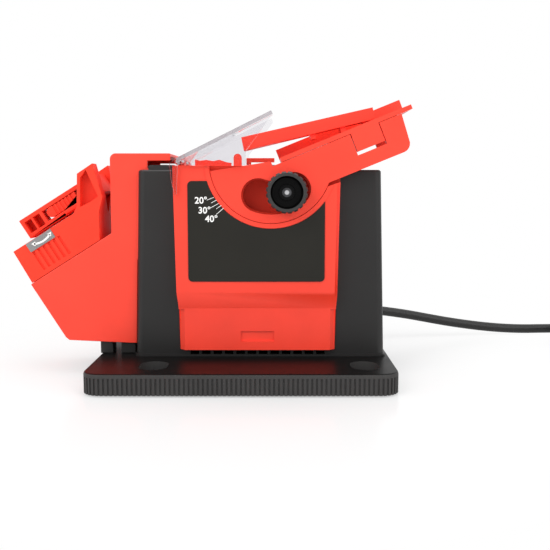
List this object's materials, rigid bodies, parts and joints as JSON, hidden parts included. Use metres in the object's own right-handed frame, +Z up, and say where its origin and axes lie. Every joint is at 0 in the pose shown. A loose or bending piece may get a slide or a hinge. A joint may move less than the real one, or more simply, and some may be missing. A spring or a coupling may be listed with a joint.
{
  "type": "bench sharpener",
  "caption": "Motorised bench sharpener: a tilting chisel bed under a clear guard and a swinging drill cradle lift off a tower whose shaft turns a grinding wheel for each.",
  "frame": {"origin": "on the bench, under the middle of the base", "axes": "+Z up off the bench; -Y is the front with the angle scale; +X is the user's right"},
  "size_m": [0.5536, 0.2307, 0.1959],
  "materials": {
    "black_plastic": "glossy black moulding",
    "red_plastic": "semi-gloss red moulding",
    "switch_red": "glossy red rocker",
    "label_black": "matt printed label",
    "label_grey": "satin grey sticker",
    "clear_plastic": "clear moulding",
    "steel": "bright steel",
    "zinc_steel": "zinc plated can",
    "dark_plastic": "dark motor moulding",
    "iron": "laminated rotor with windings",
    "bronze": "sintered bronze",
    "grit": "grey bonded grit",
    "rubber": "black soft moulding"
  },
  "bodies": {
    "stand": {"base_plate": "black_plastic", "bottom_cover": "black_plastic", "cover_screws": "steel", "rubber_feet": "rubber", "tower_shell": "black_plastic", "tower_screws": "steel", "drill_dock": "black_plastic", "motor_can": "zinc_steel", "motor_end_cap": "dark_plastic", "motor_screws": "steel", "shaft_bush": "bronze", "switch_frame": "black_plastic", "strain_relief": "rubber", "power_cord": "rubber", "cord_coil": "rubber", "cord_tie": "rubber", "plug_body": "rubber", "plug_pins": "steel"},
    "rotor": {"motor_rotor": "iron", "motor_shaft": "steel", "chisel_wheel": "grit", "wheel_hub": "steel", "drill_wheel": "grit", "wheel_flanges": "steel", "shaft_nut": "steel"},
    "rocker": {"switch_rocker": "switch_red"},
    "front_module": {"front_housing": "red_plastic", "label_plate": "label_black", "lock_nut": "steel", "guard_pin": "steel"},
    "plate": {"angle_plate": "red_plastic"},
    "knob": {"lock_knob": "black_plastic", "lock_screw": "steel"},
    "carriage": {"tool_carriage": "red_plastic", "lever_pin": "steel"},
    "lever": {"clamp_lever": "red_plastic"},
    "guard": {"clear_guard": "clear_plastic"},
    "drill_module": {"drill_housing": "red_plastic", "cradle_pivot": "steel"},
    "cradle": {"drill_cradle": "red_plastic", "arrow_plate": "label_grey"},
    "clamp": {"drill_clamp": "red_plastic", "drill_jaw": "steel"},
    "thumb": {"clamp_slide": "red_plastic"}
  },
  "joints": [
    {"name": "rotor_spin", "type": "hinge", "parent": "stand", "child": "rotor", "pos_m": [0, 0.009, 0.121], "axis": [1, 0, 0], "continuous": true},
    {"name": "rocker_turn", "type": "hinge", "parent": "stand", "child": "rocker", "pos_m": [0.09031, 0.02, 0.066], "axis": [0, 0, 1], "range_deg": [0, 14]},
    {"name": "front_module_lift", "type": "slide", "parent": "stand", "child": "front_module", "axis": [0, 0, 1], "range_m": [0, 0.125]},
    {"name": "plate_tilt", "type": "hinge", "parent": "front_module", "child": "plate", "pos_m": [0.0193, -0.041, 0.1497], "axis": [0, -1, 0], "range_deg": [-2, 18]},
    {"name": "knob_turn", "type": "hinge", "parent": "front_module", "child": "knob", "pos_m": [0.0298, -0.05, 0.1292], "axis": [0, -1, 0], "continuous": true},
    {"name": "carriage_slide", "type": "slide", "parent": "plate", "child": "carriage", "axis": [0, 1, 0], "range_m": [-0.014, 0.014]},
    {"name": "lever_lift", "type": "hinge", "parent": "carriage", "child": "lever", "pos_m": [0.08418, -0.011, 0.18131], "axis": [0, 1, 0], "range_deg": [-1, 15]},
    {"name": "guard_open", "type": "hinge", "parent": "front_module", "child": "guard", "pos_m": [-0.0424, -0.011, 0.1498], "axis": [0, -1, 0], "range_deg": [0, 75]},
    {"name": "drill_module_lift", "type": "slide", "parent": "stand", "child": "drill_module", "axis": [0, 0, 1], "range_m": [0, 0.08]},
    {"name": "cradle_swing", "type": "hinge", "parent": "drill_module", "child": "cradle", "pos_m": [-0.1141, 0.009, 0.11244], "axis": [-0.5299, 0, 0.848], "range_deg": [-8, 8]},
    {"name": "clamp_travel", "type": "slide", "parent": "cradle", "child": "clamp", "axis": [0.848, 0, 0.5299], "range_m": [-0.03, 0.0025]},
    {"name": "thumb_travel", "type": "slide", "parent": "clamp", "child": "thumb", "axis": [0.848, 0, 0.5299], "range_m": [0, 0.008]}
  ]
}
